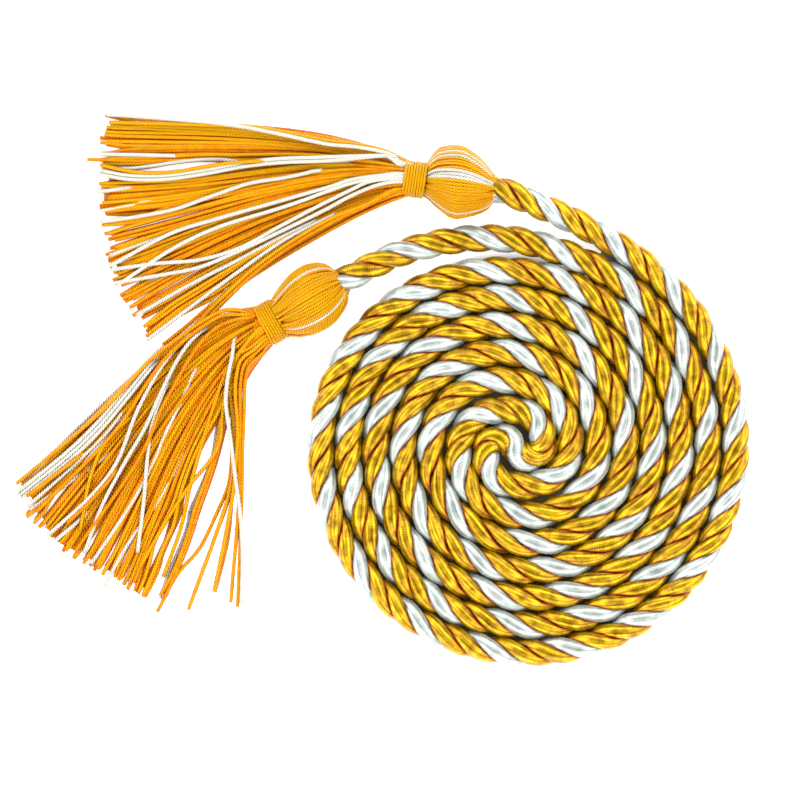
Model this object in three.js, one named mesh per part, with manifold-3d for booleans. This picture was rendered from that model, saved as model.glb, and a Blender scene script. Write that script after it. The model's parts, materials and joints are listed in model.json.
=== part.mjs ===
import * as THREE from 'three';
import { mergeVertices } from 'three/addons/utils/BufferGeometryUtils.js';
import Module from 'manifold-3d';

// An honor cord laid out flat: one twisted cord, folded at its middle and wound into a double
// spiral, with a tassel on each of its two ends. Millimetres, +Z up, seen from above.
// The finished group stands on Z = 0 with its origin under the middle of its outer box.

const wasm = await Module();
wasm.setup();

const rad = THREE.MathUtils.degToRad;
const lerp = THREE.MathUtils.lerp;
const smoothstep = THREE.MathUtils.smoothstep;

// The cord
const cord_diameter = 6.4;
const cord_sides = 10;
const turn_gap = 0.7;
const turn_spacing = cord_diameter + turn_gap;

// The double spiral. Two arms leave a fold of two half circles and wind outward side by side.
const fold_hole_radius = 0.8;
const fold_radius = cord_diameter / 2 + fold_hole_radius;
const fold_bearing = rad(200);
const fold_stations = 8;
const station_turn = rad(15);
const first_arm_sweep = rad(1230);
const second_arm_sweep = rad(1050);
const oval_stretch = 0.78;
const oval_bearing = rad(-29);

// The two free tails, from the spiral to the mouths of the tassels: chosen points about the
// middle of the coil, in plan.
const first_tail_points = [
  [57.4, 0.9], [56.5, 10.9], [53.8, 20.5], [49.7, 29.6], [43.9, 37.7], [36.9, 44.9], [28.9, 51.0],
  [20.2, 56.3], [12.6, 60.1], [5.5, 63.1], [-0.3, 65.5], [-5.2, 67.0],
];
const second_tail_points = [
  [50.2, 0.9], [49.4, 9.6], [47.0, 18.0], [43.3, 25.9], [38.4, 33.1], [32.3, 39.3], [25.2, 44.5],
  [17.4, 48.6], [9.0, 51.8], [0.0, 53.9], [-9.4, 54.3], [-19.0, 53.2], [-28.7, 50.7],
  [-36.8, 47.1], [-45.0, 42.8],
];
const tail_rise_length = 24;

// The tassels
const mouth_height = 6.2;
const seat_depth = 3;
const seat_clearance = 0.35;
const binding_wall = 1.0;
const binding_clearance = 0.3;
const binding_windings = 6;
const head_ridges = 14;
const head_ridge_depth = 0.35;
const thread_length = 79;
const skirt_tip_thickness = 2.2;
const lock_tip_width = 6.6;
const lock_sides = 8;
const lock_steps = 8;
const lock_settle_share = 0.22;
const lock_start_gap = 1.2;
const neck_run_out = 2.5;

// Half width of a head along its length, as shares of the head's length and width.
const head_profile = [
  { along: 0.0, wide: 0.46 },
  { along: 0.1, wide: 0.72 },
  { along: 0.22, wide: 0.88 },
  { along: 0.36, wide: 0.97 },
  { along: 0.48, wide: 1.0 },
  { along: 0.6, wide: 0.97 },
  { along: 0.72, wide: 0.88 },
  { along: 0.83, wide: 0.76 },
  { along: 0.92, wide: 0.62 },
  { along: 1.0, wide: 0.44 },
];

// Locks of the two skirts. Angles are degrees counterclockwise from the tassel's own line:
// how a lock leaves the binding, where its tip lies, and how far it bends on past that.
// Length and width are shares of thread_length and lock_tip_width.
const first_locks = [
  { leave: -20, turn: -2.8, bend: 6, length: 0.99, width: 1.05 },
  { leave: -11, turn: 2.4, bend: 4, length: 1.02, width: 0.95 },
  { leave: -7, turn: 8.0, bend: -3, length: 0.99, width: 1.0 },
  { leave: -3, turn: 12.8, bend: -2, length: 1.0, width: 0.95 },
  { leave: 1, turn: 17.8, bend: 2, length: 0.99, width: 1.0 },
  { leave: 5, turn: 22.8, bend: 4, length: 1.01, width: 1.0 },
  { leave: 9, turn: 27.8, bend: 5, length: 1.0, width: 1.0 },
  { leave: 15, turn: 33.0, bend: 5, length: 0.99, width: 1.0 },
  { leave: 22, turn: 38.2, bend: 3, length: 0.97, width: 1.0 },
];
const second_locks = [
  { leave: -22, turn: 5.6, bend: 8, length: 0.95, width: 1.0 },
  { leave: -16, turn: 11.6, bend: 8, length: 0.98, width: 1.05 },
  { leave: -10, turn: 17.6, bend: 8, length: 0.98, width: 1.05 },
  { leave: -4, turn: 23.6, bend: 7, length: 0.97, width: 1.05 },
  { leave: 2, turn: 29.4, bend: 5, length: 0.96, width: 1.0 },
  { leave: 8, turn: 35.0, bend: 2, length: 0.96, width: 0.9 },
  { leave: 14, turn: 41.2, bend: -6, length: 0.98, width: 0.5 },
  { leave: 22, turn: 48.0, bend: -8, length: 0.91, width: 0.4 },
  { leave: 34, turn: 54.6, bend: 4, length: 0.91, width: 0.45 },
];

const tassels = [
  {
    name: 'tassel_a',
    tail: first_tail_points,
    bearing: rad(173.2),
    head_length: 17.7,
    head_width: 19.4,
    head_height: 15.5,
    binding_length: 5.8,
    binding_width: 9.6,
    binding_height: 9.0,
    locks: first_locks,
  },
  {
    name: 'tassel_b',
    tail: second_tail_points,
    bearing: rad(209.8),
    head_length: 18.2,
    head_width: 17.8,
    head_height: 15.0,
    binding_length: 4.9,
    binding_width: 11.6,
    binding_height: 8.4,
    locks: second_locks,
  },
];

const gold = new THREE.Color('#e0ac12');
const orange_gold = new THREE.Color('#f7a417');
const deep_gold = new THREE.Color('#f09a12');
const cord_finish = new THREE.MeshStandardMaterial({ color: gold, roughness: 0.42, metalness: 0 });
const thread_finish = new THREE.MeshStandardMaterial({ color: orange_gold, roughness: 0.6, metalness: 0 });
const binding_finish = new THREE.MeshStandardMaterial({ color: deep_gold, roughness: 0.6, metalness: 0 });

// A closed mesh as a solid that can be joined and cut, without doubled points or empty faces.
function to_solid(geometry) {
  const bare = geometry.clone();
  bare.deleteAttribute('normal');
  bare.deleteAttribute('uv');
  const merged = mergeVertices(bare, 1e-4);
  const corners = merged.index.array;
  const faces = [];
  for (let i = 0; i < corners.length; i += 3) {
    const [a, b, c] = corners.slice(i, i + 3);
    if (a !== b && b !== c && c !== a) {
      faces.push(a, b, c);
    }
  }
  const mesh = new wasm.Mesh({
    numProp: 3,
    vertProperties: Float32Array.from(merged.attributes.position.array),
    triVerts: Uint32Array.from(faces),
  });
  return new wasm.Manifold(mesh);
}

function to_geometry(solid) {
  const mesh = solid.getMesh();
  const geometry = new THREE.BufferGeometry();
  geometry.setAttribute('position', new THREE.BufferAttribute(mesh.vertProperties, 3));
  geometry.setIndex(new THREE.BufferAttribute(mesh.triVerts, 1));
  geometry.computeVertexNormals();
  return geometry;
}

// Moves every point of a geometry by a rule of its place.
function reshape(geometry, rule) {
  const place = geometry.attributes.position;
  const point = new THREE.Vector3();
  for (let i = 0; i < place.count; i += 1) {
    point.fromBufferAttribute(place, i);
    rule(point);
    place.setXYZ(i, point.x, point.y, point.z);
  }
  return geometry;
}

// One half circle of the fold, from the middle of the cord out to the start of an arm.
function fold_points(bearing) {
  const centre = new THREE.Vector2(Math.cos(bearing), Math.sin(bearing)).multiplyScalar(fold_radius);
  const points = [];
  for (let i = 1; i <= fold_stations; i += 1) {
    const angle = bearing - Math.PI + (Math.PI * i) / fold_stations;
    points.push([centre.x + fold_radius * Math.cos(angle), centre.y + fold_radius * Math.sin(angle)]);
  }
  return points;
}

// One arm of the spiral. The hand-wound coil is slightly oval, more so away from the fold.
function arm_points(bearing, sweep) {
  const points = [];
  const count = Math.round(sweep / station_turn);
  for (let i = 1; i <= count; i += 1) {
    const turned = i * station_turn;
    const angle = bearing + turned;
    const oval = oval_stretch * Math.min(1, turned / (2 * Math.PI)) * Math.cos(2 * (angle - oval_bearing));
    const radius = 2 * fold_radius + (turn_spacing * turned) / Math.PI + oval;
    points.push([radius * Math.cos(angle), radius * Math.sin(angle)]);
  }
  return points;
}

// A cord lies with its underside on the table.
const cord_height = cord_diameter * Math.cos(Math.PI / cord_sides);
const lie = ([x, y]) => new THREE.Vector3(x, y, cord_height / 2);

// A free tail rises over its last stretch into the mouth of its tassel, and on into its seat.
function tail_points(tassel) {
  const [mouth_x, mouth_y] = tassel.tail.at(-1);
  const points = tassel.tail.map(([x, y]) => {
    const left = Math.hypot(mouth_x - x, mouth_y - y);
    const rise = smoothstep(tail_rise_length - left, 0, tail_rise_length);
    return new THREE.Vector3(x, y, lerp(cord_height / 2, mouth_height, rise));
  });
  const seat = new THREE.Vector3(Math.cos(tassel.bearing), Math.sin(tassel.bearing), 0);
  points.push(seat.multiplyScalar(seat_depth).add(points.at(-1)));
  return points;
}

// Frames along a line that never roll: the first axis of the section always points down.
function level_frames(line, steps) {
  const frames = { tangents: [], normals: [], binormals: [] };
  const down = new THREE.Vector3(0, 0, -1);
  for (let i = 0; i <= steps; i += 1) {
    const tangent = line.getTangentAt(i / steps);
    const binormal = new THREE.Vector3().crossVectors(tangent, down).normalize();
    frames.tangents.push(tangent);
    frames.binormals.push(binormal);
    frames.normals.push(new THREE.Vector3().crossVectors(binormal, tangent));
  }
  return frames;
}

// A tube of even section with one station at each point of the route, one flat always down.
function cord_tube(points, diameter) {
  const line = new THREE.CatmullRomCurve3(points, false, 'centripetal');
  line.getUtoTmapping = (share) => share;
  line.computeFrenetFrames = (steps) => level_frames(line, steps);
  const section = new THREE.Shape();
  const corners = [];
  for (let i = 0; i < cord_sides; i += 1) {
    const angle = (2 * Math.PI * (i + 0.5)) / cord_sides;
    corners.push(new THREE.Vector2(Math.cos(angle), Math.sin(angle)).multiplyScalar(diameter / 2));
  }
  section.setFromPoints(corners);
  return new THREE.ExtrudeGeometry(section, {
    steps: points.length - 1,
    bevelEnabled: false,
    extrudePath: line,
  });
}

const first_half = [...fold_points(fold_bearing), ...arm_points(fold_bearing, first_arm_sweep)];
const second_bearing = fold_bearing - Math.PI;
const second_half = [...fold_points(second_bearing), ...arm_points(second_bearing, second_arm_sweep)];
const cord_route = [
  ...tail_points(tassels[0]).reverse(),
  ...first_half.map(lie).reverse(),
  lie([0, 0]),
  ...second_half.map(lie),
  ...tail_points(tassels[1]),
];

// Height of the middle line of a tassel, from the binding at 0 to the mouth at 1.
function axis_height(tassel, share) {
  const neck = tassel.binding_height / 2 + binding_clearance;
  const belly = tassel.head_height / 2;
  return share < 0.5
    ? lerp(neck, belly, smoothstep(share, 0, 0.5))
    : lerp(belly, mouth_height, smoothstep(share, 0.5, 1));
}

// Width and height of the threads inside the binding.
function neck_size(tassel) {
  const around = 2 * (binding_wall + binding_clearance);
  return [tassel.binding_width - around, tassel.binding_height - around];
}

// A tassel's own frame has its mouth at 0, the skirt towards +X and the table at Z = 0.
// The head and the neck under the binding are one body of threads, ridged along its length.
function head_geometry(tassel) {
  const [neck_width, neck_height] = neck_size(tassel);
  const neck_reach = tassel.binding_length + neck_run_out;
  const neck_share = neck_width / tassel.head_width;
  const outline = [new THREE.Vector2(0, -neck_reach), new THREE.Vector2(neck_share, -neck_reach)];
  outline.push(new THREE.Vector2(neck_share, 0));
  for (const row of head_profile) {
    outline.push(new THREE.Vector2(row.wide, lerp(binding_clearance, tassel.head_length, row.along)));
  }
  outline.push(new THREE.Vector2(0, tassel.head_length));
  const lathe = new THREE.LatheGeometry(outline, 2 * head_ridges);
  const neck_flat = neck_height / neck_width;
  const head_flat = tassel.head_height / tassel.head_width;
  return reshape(lathe, (point) => {
    const share = point.y / tassel.head_length;
    const around = Math.atan2(point.z, point.x);
    const out = Math.hypot(point.x, point.z);
    const ridge = share > 0 ? (head_ridge_depth * (1 + Math.cos(head_ridges * around))) / 2 : 0;
    const reach = out > 0 ? (out * tassel.head_width) / 2 - ridge : 0;
    const flat = lerp(neck_flat, head_flat, smoothstep(share, 0, 0.3));
    const level = axis_height(tassel, Math.max(0, share)) + reach * flat * Math.sin(around);
    point.set(tassel.head_length * (1 - share), reach * Math.cos(around), Math.max(0, level));
  });
}

// One lock of the skirt: a flattened bundle bent along a curve, thick at the neck and thin at
// its tip, lying on the table once it has come down from the binding.
function lock_geometry(tassel, lock, place_in_neck) {
  const [neck_width, neck_height] = neck_size(tassel);
  const start_width = neck_width * 0.42;
  const start_height = neck_height * 0.62;
  const start = new THREE.Vector2(
    tassel.head_length + tassel.binding_length + lock_start_gap,
    place_in_neck * (neck_width - start_width),
  );
  const reach = lock.length * thread_length;
  const tip_turn = rad(lock.turn);
  const tip = new THREE.Vector2(
    tassel.head_length + tassel.binding_length + reach * Math.cos(tip_turn),
    reach * Math.sin(tip_turn),
  );
  const leave = rad(lock.leave);
  const arrive = rad(lock.turn + lock.bend);
  const first_handle = new THREE.Vector2(Math.cos(leave), Math.sin(leave)).multiplyScalar(reach * 0.3);
  const last_handle = new THREE.Vector2(Math.cos(arrive), Math.sin(arrive)).multiplyScalar(reach * 0.35);
  const line = new THREE.CubicBezierCurve(
    start,
    start.clone().add(first_handle),
    tip.clone().sub(last_handle),
    tip,
  );
  const bundle = new THREE.CylinderGeometry(1, 1, 1, lock_sides, lock_steps);
  bundle.rotateY(Math.PI / lock_sides);
  const flat_reach = Math.cos(Math.PI / lock_sides);
  const neck_level = axis_height(tassel, 0);
  return reshape(bundle, (point) => {
    const share = point.y + 0.5;
    const centre = line.getPoint(share);
    const ahead = line.getTangent(share);
    const settled = smoothstep(share, 0, lock_settle_share);
    const width = lerp(start_width, lock.width * lock_tip_width, share ** 0.8);
    const height = lerp(start_height, skirt_tip_thickness, share ** 0.6);
    const level = lerp(neck_level, height / 2, settled);
    const across = (-point.x * width) / 2;
    const up = (point.z * height) / 2 / flat_reach;
    point.set(centre.x - ahead.y * across, centre.y + ahead.x * across, level + up);
  });
}

// The wound thread that ties the neck: a ring whose outside shows each winding.
function binding_geometry(tassel) {
  const inner = 1 - (2 * binding_wall) / tassel.binding_width;
  const groove = 0.25 / tassel.binding_width;
  const pitch = tassel.binding_length / binding_windings;
  const outline = [];
  outline.push(new THREE.Vector2(inner, tassel.binding_length));
  outline.push(new THREE.Vector2(inner, 0));
  for (let i = 0; i < binding_windings; i += 1) {
    outline.push(new THREE.Vector2(1 - 2 * groove, i * pitch));
    outline.push(new THREE.Vector2(1, (i + 0.5) * pitch));
  }
  outline.push(new THREE.Vector2(1 - 2 * groove, tassel.binding_length));
  outline.push(outline[0].clone());
  const lathe = new THREE.LatheGeometry(outline, 24);
  return reshape(lathe, (point) => {
    const along = point.y;
    const half_wide = tassel.binding_width / 2;
    const half_high = tassel.binding_height / 2;
    point.set(
      tassel.head_length + tassel.binding_length - along,
      point.x * half_wide,
      axis_height(tassel, 0) + point.z * half_high,
    );
  });
}

// The seat that the end of the cord fills inside the head, in the tassel's own frame.
function cord_seat(tassel) {
  const start = new THREE.Vector3(-2 * cord_diameter, 0, mouth_height);
  const middle = new THREE.Vector3(0, 0, mouth_height);
  const end = new THREE.Vector3(seat_depth + seat_clearance, 0, mouth_height);
  return cord_tube([start, middle, end], cord_diameter + 2 * seat_clearance);
}

function threads_geometry(tassel) {
  let body = to_solid(head_geometry(tassel)).subtract(to_solid(cord_seat(tassel)));
  tassel.locks.forEach((lock, i) => {
    const place_in_neck = (i + 0.5) / tassel.locks.length - 0.5;
    body = body.add(to_solid(lock_geometry(tassel, lock, place_in_neck)));
  });
  return to_geometry(body);
}

function tassel_group(tassel) {
  const group = new THREE.Group();
  const [mouth_x, mouth_y] = tassel.tail.at(-1);
  group.position.set(mouth_x, mouth_y, 0);
  group.rotation.z = tassel.bearing;
  const threads = new THREE.Mesh(threads_geometry(tassel), thread_finish);
  threads.name = `${tassel.name}_threads`;
  const binding = new THREE.Mesh(binding_geometry(tassel), binding_finish);
  binding.name = `${tassel.name}_binding`;
  group.add(threads, binding);
  return group;
}

const cord = new THREE.Mesh(cord_tube(cord_route, cord_diameter), cord_finish);
cord.name = 'cord';

const honor_cord = new THREE.Group();
honor_cord.add(cord);
for (const tassel of tassels) {
  honor_cord.add(tassel_group(tassel));
}

const box = new THREE.Box3().setFromObject(honor_cord, true);
honor_cord.position.set(-(box.min.x + box.max.x) / 2, -(box.min.y + box.max.y) / 2, -box.min.z);

export default honor_cord;
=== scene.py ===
# An honor cord laid out flat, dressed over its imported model: a rope of three strands, and two
# tassels made thread by thread. Lengths are millimetres, and become metres where a mesh is made.
import json
import math
import random

import bpy
import numpy as np
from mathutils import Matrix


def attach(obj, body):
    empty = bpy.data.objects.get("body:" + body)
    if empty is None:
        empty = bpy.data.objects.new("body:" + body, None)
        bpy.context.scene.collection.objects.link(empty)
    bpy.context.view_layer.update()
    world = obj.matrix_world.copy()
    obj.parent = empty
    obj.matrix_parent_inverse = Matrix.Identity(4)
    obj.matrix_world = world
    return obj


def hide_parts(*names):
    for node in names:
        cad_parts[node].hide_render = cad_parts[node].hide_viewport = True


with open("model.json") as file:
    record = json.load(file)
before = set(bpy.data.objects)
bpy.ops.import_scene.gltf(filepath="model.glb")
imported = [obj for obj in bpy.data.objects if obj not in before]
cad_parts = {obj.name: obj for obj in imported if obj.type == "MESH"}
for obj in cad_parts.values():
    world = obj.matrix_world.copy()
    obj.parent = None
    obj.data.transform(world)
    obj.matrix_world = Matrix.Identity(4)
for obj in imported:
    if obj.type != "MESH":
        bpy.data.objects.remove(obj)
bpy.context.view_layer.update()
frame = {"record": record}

MM = 0.001
rad = math.radians
shuffle = random.Random(11)

# The middle of the cord's fold is where the record's mount is. The route is drawn about it.
fold_middle = np.array(frame["record"]["mounts"][0]["pos_m"]) / MM

# The photograph looks straight down on a table 208 mm wide.
view_width = 208.0
view_middle = np.array([-29.64, 12.35, 0.0])
lens = 200.0
sensor = 36.0

# The cord's route, as in the model. Here the turns beside the fold also nestle against it.
turn_spacing = 7.1
fold_radius = 4.0
fold_bearing = rad(200)
fold_stations = 8
station_turn = rad(15)
first_arm_sweep = rad(1230)
second_arm_sweep = rad(1050)
oval_stretch = 0.78
oval_bearing = rad(-29)
gap_bearing = rad(285)
gap_distance = 5.7
nestle_share = 0.3
nestle_reach = 5.5
fold_swell = 0.07
fold_swell_reach = 14
first_tail_points = [
    (57.4, 0.9), (56.5, 10.9), (53.8, 20.5), (49.7, 29.6), (43.9, 37.7), (36.9, 44.9), (28.9, 51.0),
    (20.2, 56.3), (12.6, 60.1), (5.5, 63.1), (-0.3, 65.5), (-5.2, 67.0),
]
second_tail_points = [
    (50.2, 0.9), (49.4, 9.6), (47.0, 18.0), (43.3, 25.9), (38.4, 33.1), (32.3, 39.3), (25.2, 44.5),
    (17.4, 48.6), (9.0, 51.8), (0.0, 53.9), (-9.4, 54.3), (-19.0, 53.2), (-28.7, 50.7),
    (-36.8, 47.1), (-45.0, 42.8),
]
tail_rise_length = 24
mouth_height = 6.2
seat_depth = 3

# The rope: three strands laid together with a right-hand twist, each pressed wider than it is deep
strand_half_deep = 1.78
strand_half_wide = 1.96
lay_radius = 1.9
rope_radius = strand_half_deep + lay_radius
rope_step = 0.8
strand_sides = 16

# The run in which a strand goes once round the rope, the yarns that show as ridges on it, the
# fine filament wrapped round them, and the streaks of their fibres
strand_in_turn = 23.6
strand_yarns = 6
filament_spacing = 0.5
fibre_streaks = 13.0
fibre_shortness = 0.16

# Turns of the lay from the first tassel to each place along the rope. The fold twists it tighter.
rope_turns = [
    {"run": 0, "turns": 0.07},
    {"run": 18, "turns": 1.0},
    {"run": 174, "turns": 9.0},
    {"run": 443, "turns": 22.0},
    {"run": 677, "turns": 33.0},
    {"run": 724, "turns": 35.0},
    {"run": 803, "turns": 39.0},
    {"run": 867.6, "turns": 43.0},
    {"run": 952.6, "turns": 47.0},
    {"run": 1138.6, "turns": 56.0},
    {"run": 1270.6, "turns": 63.0},
    {"run": 1435.6, "turns": 71.0},
    {"run": 1497.6, "turns": 74.1},
]

# The tassels' threads. They reach binding_hold into the binding and fill neck_fill of the neck.
thread_radius = 0.53
thread_sides = 8
thread_stations = 46
thread_yarns = 4
thread_yarn_spacing = 0.84
thread_reach = 79
binding_wall = 1.0
binding_hold = 1.5
neck_fill = 0.86

# The skirts. A lock leaves the neck and comes to its tip straight over shares of its reach, and
# drawn threads of one row lie drawn_spacing apart and emerge over a run of twice emerge_reach.
skirt_tip_thickness = 2.2
lock_neck_half_width = 0.7
lock_tip_width = 7.3
lock_leave_share = 0.3
lock_arrive_share = 0.35
lock_settle_share = 0.22
lock_white_share = 0.08
drawn_spacing = 1.9 * thread_radius
emerge_reach = 4

# The bindings: how much of its pitch a winding fills on each side, and how unevenly it is wound
winding_sides = 10
winding_stations = 48
winding_fill = 0.52
winding_spread = 0.35
winding_tuck = 0.3
winding_lean = 0.07
winding_rise = 0.12

# The heads: threads that tuck in by different depths where they crowd, over a core that lies
# core_depth inside the head's surface
head_stations = 34
head_thread_radius = 0.94 * thread_radius
head_tucks = [0.0, 0.3, 0.6, 1.5]
head_white_share = 0.2
core_sides = 28
core_stations = 24
core_depth = 1.7
core_neck_taper = np.array([0.2, 0.8, 0.9, 0.9])

# Locks of the two skirts, close to the model's. Threads leave the binding at one angle, end at
# another and bend on the way, in degrees. Length and width are shares of thread_reach and
# lock_tip_width. The second skirt's last locks are threads drawn by themselves here.
first_locks = [
    {"leave": -18, "turn": -2.8, "bend": 6, "length": 0.99, "width": 0.85, "threads": 12},
    {"leave": -11, "turn": 2.4, "bend": 4, "length": 1.0, "width": 0.95, "threads": 14},
    {"leave": -7, "turn": 8.0, "bend": -3, "length": 0.99, "width": 1.0, "threads": 14},
    {"leave": -3, "turn": 12.8, "bend": -2, "length": 1.0, "width": 0.95, "threads": 14},
    {"leave": 1, "turn": 17.8, "bend": 2, "length": 0.99, "width": 1.0, "threads": 14},
    {"leave": 5, "turn": 22.8, "bend": 4, "length": 1.0, "width": 1.0, "threads": 14},
    {"leave": 9, "turn": 27.8, "bend": 5, "length": 1.0, "width": 1.0, "threads": 14},
    {"leave": 15, "turn": 33.0, "bend": 5, "length": 0.99, "width": 1.0, "threads": 14},
    {"leave": 22, "turn": 38.2, "bend": 3, "length": 0.98, "width": 0.85, "threads": 12},
]
second_locks = [
    {"leave": -22, "turn": 5.6, "bend": 8, "length": 0.95, "width": 1.0, "threads": 12},
    {"leave": -16, "turn": 11.6, "bend": 8, "length": 0.98, "width": 1.05, "threads": 15},
    {"leave": -10, "turn": 17.6, "bend": 8, "length": 0.98, "width": 1.05, "threads": 15},
    {"leave": -4, "turn": 23.6, "bend": 7, "length": 0.97, "width": 1.05, "threads": 15},
    {"leave": 2, "turn": 29.4, "bend": 5, "length": 0.96, "width": 1.0, "threads": 14},
    {"leave": 8, "turn": 34.6, "bend": 2, "length": 0.96, "width": 0.9, "threads": 13},
    {"leave": 12, "turn": 39.6, "bend": -6, "length": 0.95, "width": 0.4, "threads": 5},
]

# Threads that show by themselves. A route is (distance, degrees) from the end of the binding,
# root is the place across the neck, and level runs from 0 on the table to 1 on top. A thread
# with a distance to emerge at lies under the others up to there.
first_drawn = [
    {"white": True, "count": 1, "root": -3.7, "level": 1.2,
     "route": [(5.9, -60), (9, -42), (16, -24), (21, -17.5), (32, -13.2), (42, -11.2), (51, -9.5),
               (63, -7.4), (79, -5.4)]},
    {"white": True, "count": 2, "root": -3.3, "level": 1.2,
     "route": [(6.9, -47), (9.3, -30.5), (13.3, -17), (22.3, -5.8), (32.6, -1.2), (42, 2),
               (52, 5.0), (63, 6.6), (72, 6.5), (79, 5.6)]},
    {"white": False, "count": 1, "root": -4.2, "level": 1.1,
     "route": [(5.9, -64), (9, -46), (16, -27), (21, -20), (32, -14.6), (42, -11.9), (50, -9.1),
               (78, -4.0)]},
    {"white": True, "count": 1, "root": -2.6, "level": 0.7, "emerge": 12,
     "route": [(10.5, -19), (20, -6), (32.6, -0.6), (40.5, 1.0), (48.8, 0.9), (57, 2.2),
               (69.4, 4.5), (76, 5)]},
    {"white": False, "count": 1, "root": -2.9, "level": 1.3, "emerge": 34,
     "route": [(20, -7), (32, -1.6), (45.4, 1.9), (52.8, 3.8), (59, 5.1), (65.2, 5.6),
               (71.4, 5.3), (79, 4.2)]},
    {"white": True, "count": 1, "root": -1.6, "level": 1, "emerge": 20,
     "route": [(22, 1.3), (27, 4.8), (32, 6.8), (40, 8.6), (50, 12.0), (60, 14.4), (70, 14.9),
               (80, 14.9)]},
    {"white": True, "count": 1, "root": -0.9, "level": 1,
     "route": [(7, 2.9), (14, 8.7), (19, 13.2), (26, 15.7), (33, 17.2), (50, 19), (62, 20),
               (80, 23.4)]},
    {"white": True, "count": 1, "root": -0.2, "level": 1,
     "route": [(7, 7.7), (14, 12.6), (20, 16.3), (26, 18.9), (33, 20.3), (50, 21.5), (62, 23.5),
               (80, 27.3)]},
    {"white": True, "count": 1, "root": 0.5, "level": 1,
     "route": [(9, 12.7), (14, 19.2), (22, 24.2), (27, 26), (35, 28), (46, 29.7), (57, 28.5),
               (68, 25.7), (80, 24)]},
    {"white": True, "count": 1, "root": 1.2, "level": 1,
     "route": [(7, 22), (15, 25.5), (21, 28.3), (35, 30.1), (48, 30.5), (58, 30.2), (68, 28.4),
               (80, 26.6)]},
    {"white": True, "count": 1, "root": 2.2, "level": 0.9, "emerge": 18,
     "route": [(18, 34.6), (28, 33.9), (36, 34.2), (50, 36.2), (62, 37.6), (79, 38.9)]},
    {"white": True, "count": 1, "root": 2.0, "level": 0.8, "emerge": 23,
     "route": [(23, 32.4), (36, 32.2), (48, 32.9), (62, 33.1), (78, 33.8)]},
    {"white": True, "count": 1, "root": -2.2, "level": 0.9, "emerge": 58,
     "route": [(24, -6), (40, -2.4), (56, 0.8), (68, 1.6), (79, 2.2)]},
    {"white": False, "count": 1, "root": -2.0, "level": 0.6,
     "route": [(24, -4), (40, 0), (60, 2.2), (70, 3.0), (82.5, 3.3)]},
    {"white": False, "count": 2, "root": 3.4, "level": 1.1,
     "route": [(12, 42.6), (20, 37.3), (32, 36.9), (45, 38.3), (57, 40.7), (68, 42.7), (79, 43.8)]},
    {"white": False, "count": 1, "root": 3.0, "level": 0.7,
     "route": [(12, 38.6), (20, 34.6), (32, 35.0), (45, 36.9), (57, 39.8), (68, 42.0), (78, 43.0)]},
    {"white": True, "count": 1, "root": 2.9, "level": 0.5, "emerge": 16,
     "route": [(12, 37), (20, 34.2), (32, 34.5), (45, 36.5), (57, 39.2), (68, 41.5), (77, 42.4)]},
    {"white": True, "count": 1, "root": -1.9, "level": 0.8, "emerge": 70,
     "route": [(20, -2), (40, 4), (60, 7.4), (72, 8.7), (80.2, 9.3)]},
    {"white": True, "count": 1, "root": -1.7, "level": 0.6, "emerge": 62,
     "route": [(20, 0), (40, 6.4), (60, 10.6), (70, 12.1), (79.5, 12.9)]},
    {"white": True, "count": 1, "root": -1.0, "level": 0.6, "emerge": 60,
     "route": [(20, 10), (40, 16), (60, 19.8), (79, 21.4)]},
]
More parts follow.
